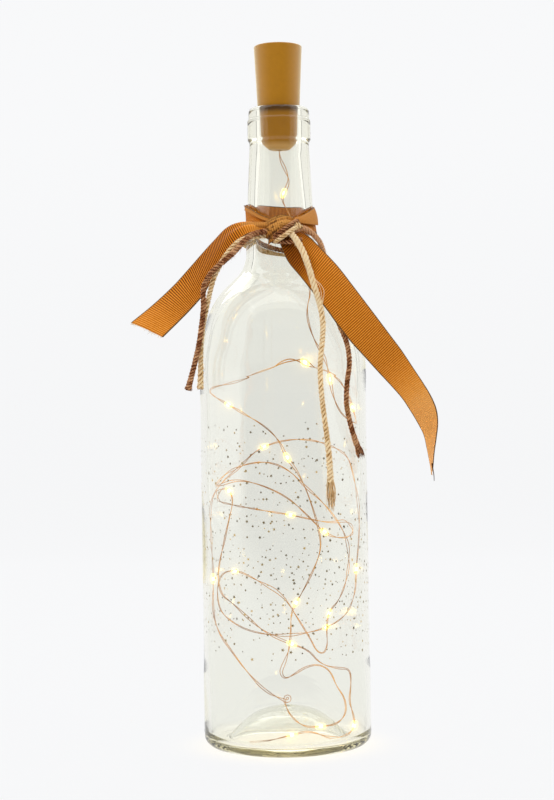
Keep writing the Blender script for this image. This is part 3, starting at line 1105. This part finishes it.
# twine in the knot
KNOT_TWINES = [
    ("brown", [(6.2, -19.0, 236.6), (7.4, -22.6, 236.2), (5.6, -26.2, 235.0), (2.4, -28.2, 232.8), (-0.6, -28.4, 230.6), (-3.0, -26.6, 229.0), (-4.2, -23.4, 228.6)]),
    ("brown", [(7.2, -20.6, 234.6), (8.0, -24.0, 233.6), (5.8, -27.4, 232.4), (2.0, -29.0, 230.2), (-0.8, -28.6, 228.4), (-3.2, -25.8, 227.4)]),
    ("jute", [(7.8, -22.4, 232.6), (6.8, -27.2, 232.8), (4.0, -30.0, 230.8), (0.6, -30.2, 228.4), (-1.6, -28.0, 227.2), (-2.6, -24.6, 227.0)]),
    ("brown", [(-3.6, -23.4, 227.2), (0.4, -27.4, 226.6), (4.4, -28.6, 226.4), (8.0, -26.8, 227.2), (9.2, -23.0, 228.6)]),
    ("jute", [(4.6, -24.0, 234.4), (7.6, -26.2, 234.2), (9.2, -26.6, 232.8)]),
]
knot_twines = []
for number, (kind, points) in enumerate(KNOT_TWINES):
    line, _ = smooth_line(np.array(points) * MM, 0.0005)
    knot_twines.append(twine("knot_%s_%d" % (kind, number), line, 0.0021, fibres[kind], 90 + number, lay=4.6, fuzz=3.0))
for o in knot_twines:
    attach(o, "bottle")
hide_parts("twine_knot")

# --------------------------------------------------------------- the bottle
OUTSIDE = [
    (0, 14.5, 0), (15, 12.2, 36), (27.5, 0.0, 1.6), (38.1, 0, 8), (38.1, 33.5, 16), (37.85, 39.5, 16),
    (37.85, 160.0, 20), (38.1, 167.0, 16), (38.1, 174.6, 80), (32.8, 201.3, 34), (16.2, 217.0, 14),
    (13.55, 274.0, 2.2), (14.4, 275.4, 1.9), (14.4, 284.2, 1.3), (13.85, 285.0, 1.2), (13.85, 290.0, 1.9),
    (9.0, 290.0, 0.9),
]
INSIDE = [
    (9.0, 268.0, 6), (13.0, 214.6, 14), (30.3, 198.9, 32), (35.6, 172.0, 80), (35.6, 3.8, 6.5), (27.5, 3.8, 2.5),
    (15.0, 15.4, 36), (0, 17.7, 0),
]
profile = densify(rounded(OUTSIDE + INSIDE, 12), 2.5)
inner_from = int(np.argmin(np.abs(profile[:, 0] - 9.0) + np.abs(profile[:, 1] - 289.0)))
inner_keys = set((round(float(r), 4), round(float(z), 4)) for r, z in profile[inner_from:])


def unevenness(r, z, g):
    if (round(float(r), 4), round(float(z), 4)) not in inner_keys or z > 270 or r < 8:
        return 0.0
    return (
        0.10 * math.sin(2 * g + z / 31.0) * math.sin(z / 23.0 + 1.0) + 0.07 * math.sin(3 * g - z / 17.0 + 2.0)
        + 0.05 * math.sin(5 * g + z / 11.0)
    )


bottle = lathe("bottle_body", profile, glass, 220, wave=unevenness)
bottle.visible_shadow = False
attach(bottle, "bottle")
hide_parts("bottle_glass")

# the stars: scattered by a seeded draw, thick in the lower half of the band
draw = random.Random(7)
stars = Build()
placed = []
tries = 0
while len(placed) < 800 and tries < 90000:
    tries += 1
    z = draw.uniform(43, 146)
    g = draw.uniform(0, 2 * math.pi)
    weight = 0.45 if z > 138 else 0.7 if z > 112 else 0.75 if z > 96 else 1.0 if z > 52 else 0.6
    if draw.random() > weight:
        continue
    near = 2.2
    if any(abs(z - b) < near and (37.9 * min(abs(g - a), 2 * math.pi - abs(g - a))) ** 2 + (z - b) ** 2 < near ** 2 for a, b in placed):
        continue
    placed.append((g, z))
    R = 0.40 + 0.56 * draw.random() ** 2.0
    turn = draw.uniform(0, 2 * math.pi)
    pts = []
    for k in range(10):
        rr = R if k % 2 == 0 else R * 0.42
        a = turn + math.pi * k / 5
        u, w = rr * math.cos(a), rr * math.sin(a)
        gg = g + u / 37.9
        pts.append((37.885 * math.cos(gg) * MM, 37.885 * math.sin(gg) * MM, (z + w) * MM))
    pts.append((37.885 * math.cos(g) * MM, 37.885 * math.sin(g) * MM, z * MM))
    stars.add(pts, [(10, k, (k + 1) % 10) for k in range(10)], draw.random())
star_skin = stars.obj("gold_stars", gold, smooth=False)
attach(star_skin, "bottle")

# -------------------------------------------------------------- the stopper
SLEEVE = [
    (1.25, 270.2, 0.2), (4.6, 270.5, 3.0), (8.15, 273.6, 4.0), (8.72, 290.05, 0.15), (9.58, 290.05, 0.35), (11.0, 318.4, 0.75), (9.42, 318.4, 0.35),
    (9.4, 310.8, 0), (7.6, 310.8, 0), (7.6, 290.3, 0), (6.2, 290.3, 0), (6.2, 273.3, 0.4), (1.25, 273.3, 0.1),
]
line = rounded([SLEEVE[-1]] + SLEEVE + [SLEEVE[0]], 9)[1:-1]
sleeve = lathe("stopper_body", densify(line, 2.0), cork, 160, closed=True)
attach(sleeve, "stopper")
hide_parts("stopper_sleeve")


def refined(name, finish, angle=32.0):
    """A CAD node shown with smooth shading and its own finish."""
    source = frame["nodes"][name]
    mesh = source.data.copy()
    mesh.name = name + "_look"
    obj = bpy.data.objects.new(name + "_look", mesh)
    scene.collection.objects.link(obj)
    bm = bmesh.new()
    bm.from_mesh(mesh)
    bmesh.ops.remove_doubles(bm, verts=bm.verts, dist=1e-6)
    bm.to_mesh(mesh)
    bm.free()
    mesh.materials.clear()
    mesh.materials.append(finish)
    mesh.polygons.foreach_set("material_index", [0] * len(mesh.polygons))
    mesh.polygons.foreach_set("use_smooth", [True] * len(mesh.polygons))
    mesh.set_sharp_from_angle(angle=math.radians(angle))
    members = frame["record"]["behaviour"]["bodies"]
    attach(obj, next(b for b, nodes in members.items() if name in nodes))
    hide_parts(name)
    return obj


for name, finish, slot in (
    ("top_cap", cap_paint, "cap_plastic"), ("circuit_board", board_paint, "board_green"),
    ("slide_switch_housing", steel, "switch_steel"), ("switch_knob", black, "knob_black"),
    ("switch_terminals", nickel, "nickel"), ("resistor", black, "knob_black"), ("positive_contact", nickel, "nickel"),
    ("button_cell_lower", cell_steel, "cell_steel"), ("button_cell_middle", cell_steel, "cell_steel"),
    ("button_cell_upper", cell_steel, "cell_steel"), ("battery_cartridge", white_plastic, "tube_white"),
    ("spring_plate", nickel, "nickel"), ("contact_spring", nickel, "nickel"), ("contact_strip", nickel, "nickel"),
    ("wire_exit_bush", rubber, "bush_rubber"), ("glue_plug", glue, "hot_glue"),
    ("lead_wire_negative", soot, "lead_black"), ("lead_wire_positive", red, "lead_red"),
    ("solder_joints", solder, "solder"), ("wire_stub", copper, "copper"),
):
    refined(name, finish)

# ---------------------------------------------------------- studio and light
def plain(name, colour, glow):
    m, tree, s = material(name, colour, 0.9)
    s.inputs["Specular IOR Level"].default_value = 0.1
    s.inputs["Emission Color"].default_value = (0.985, 0.99, 1.0, 1.0)
    s.inputs["Emission Strength"].default_value = glow
    return m


sweep_paint = plain("paper_white", (0.03, 0.03, 0.03), 0.89)
# the paper's front, outside the picture, is less lit
tree = sweep_paint.node_tree
split = node(tree, "ShaderNodeSeparateXYZ")
tree.links.new(coordinates(tree), split.inputs[0])
fade = node(tree, "ShaderNodeMapRange")
for key, value in (("From Min", -0.88), ("From Max", -0.34), ("To Min", 0.20), ("To Max", 0.89)):
    fade.inputs[key].default_value = value
tree.links.new(split.outputs[1], fade.inputs["Value"])
rise = node(tree, "ShaderNodeMapRange")
for key, value in (("From Min", 0.0), ("From Max", 0.5), ("To Min", 0.0), ("To Max", 0.036)):
    rise.inputs[key].default_value = value
tree.links.new(split.outputs[2], rise.inputs["Value"])
# under the bottle the paper takes the lamps' warm light
away = maths(tree, "ADD", maths(tree, "MULTIPLY", split.outputs[0], split.outputs[0]), maths(tree, "MULTIPLY", split.outputs[1], split.outputs[1]))
pool = maths(tree, "EXPONENT", maths(tree, "MULTIPLY", maths(tree, "MULTIPLY", away, away), -460000.0))
level = maths(tree, "ADD", fade.outputs["Result"], rise.outputs["Result"])
tree.links.new(maths(tree, "ADD", level, maths(tree, "MULTIPLY", pool, 0.17)), tree.nodes["Principled BSDF"].inputs["Emission Strength"])
warm = node(tree, "ShaderNodeMix")
warm.data_type = "RGBA"
tree.links.new(maths(tree, "MULTIPLY", pool, 0.5), warm.inputs[0])
warm.inputs[6].default_value = tree.nodes["Principled BSDF"].inputs["Emission Color"].default_value
warm.inputs[7].default_value = (1.0, 0.88, 0.62, 1)
tree.links.new(warm.outputs[2], tree.nodes["Principled BSDF"].inputs["Emission Color"])
# a paper sweep: floor, a soft bend, and a wall behind
line = []
for y in np.linspace(-1.6, 0.9, 6):
    line.append((y, -0.0003))
for g in np.linspace(0, math.pi / 2, 14)[1:]:
    line.append((0.9 + 0.6 * math.sin(g), 0.6 - 0.6 * math.cos(g)))
line.append((1.5, 2.6))
verts, faces = [], []
for y, z in line:
    verts += [(-1.55, y, z), (1.55, y, z)]
for i in range(len(line) - 1):
    faces.append((2 * i, 2 * i + 1, 2 * i + 3, 2 * i + 2))
sweep = make("paper_sweep", verts, faces, sweep_paint)


def softbox(name, where, aim, width, height, power, colour=(1, 1, 1)):
    data = bpy.data.lights.new(name, "AREA")
    data.shape = "RECTANGLE"
    data.size, data.size_y = width, height
    data.energy = power
    data.color = colour
    lamp = bpy.data.objects.new(name, data)
    scene.collection.objects.link(lamp)
    lamp.location = where
    lamp.rotation_euler = (Vector(aim) - Vector(where)).to_track_quat("-Z", "Y").to_euler()
    return lamp


softbox("side_left", (-1.35, 0.1, 0.6), (0, 0, 0.16), 2.0, 2.0, 11.6)
softbox("side_right", (1.35, 0.1, 0.6), (0, 0, 0.16), 2.0, 2.0, 11.8)
softbox("overhead", (0.0, -0.12, 1.15), (0, 0, 0.2), 1.6, 0.9, 6.2)
softbox("back_top", (0.0, 1.05, 1.2), (0, 0, 0.25), 1.6, 0.8, 5.4)
front = softbox("front_fill", (-0.2, -1.25, 0.8), (0, 0, 0.18), 1.0, 0.9, 8.3)
front.visible_glossy = False
front.visible_transmission = False

world = bpy.data.worlds.new("studio")
world.use_nodes = True
world.node_tree.nodes["Background"].inputs["Color"].default_value = (0.97, 0.98, 1.0, 1.0)
world.node_tree.nodes["Background"].inputs["Strength"].default_value = 0.2
scene.world = world

scene.view_settings.view_transform = "Standard"
scene.view_settings.look = "None"
scene.view_settings.exposure = 0.0
scene.cycles.max_bounces = 32
scene.cycles.transmission_bounces = 32
scene.cycles.glossy_bounces = 32
scene.cycles.diffuse_bounces = 4
scene.cycles.transparent_max_bounces = 16
scene.cycles.caustics_reflective = True
scene.cycles.caustics_refractive = True
scene.cycles.sample_clamp_indirect = 4.0

# the lamps bloom a little, as they do on a sensor
scene.use_nodes = True
comp = scene.node_tree
comp.nodes.clear()
taken = comp.nodes.new("CompositorNodeRLayers")
glow = comp.nodes.new("CompositorNodeGlare")
glow.glare_type = "BLOOM"
glow.quality = "HIGH"
glow.inputs["Threshold"].default_value = 1.1
glow.inputs["Strength"].default_value = 0.95
glow.inputs["Size"].default_value = 0.48
glow.inputs["Tint"].default_value = (1.0, 0.88, 0.38, 1.0)
result = comp.nodes.new("CompositorNodeComposite")
comp.links.new(taken.outputs["Image"], glow.inputs["Image"])
comp.links.new(glow.outputs["Image"], result.inputs["Image"])
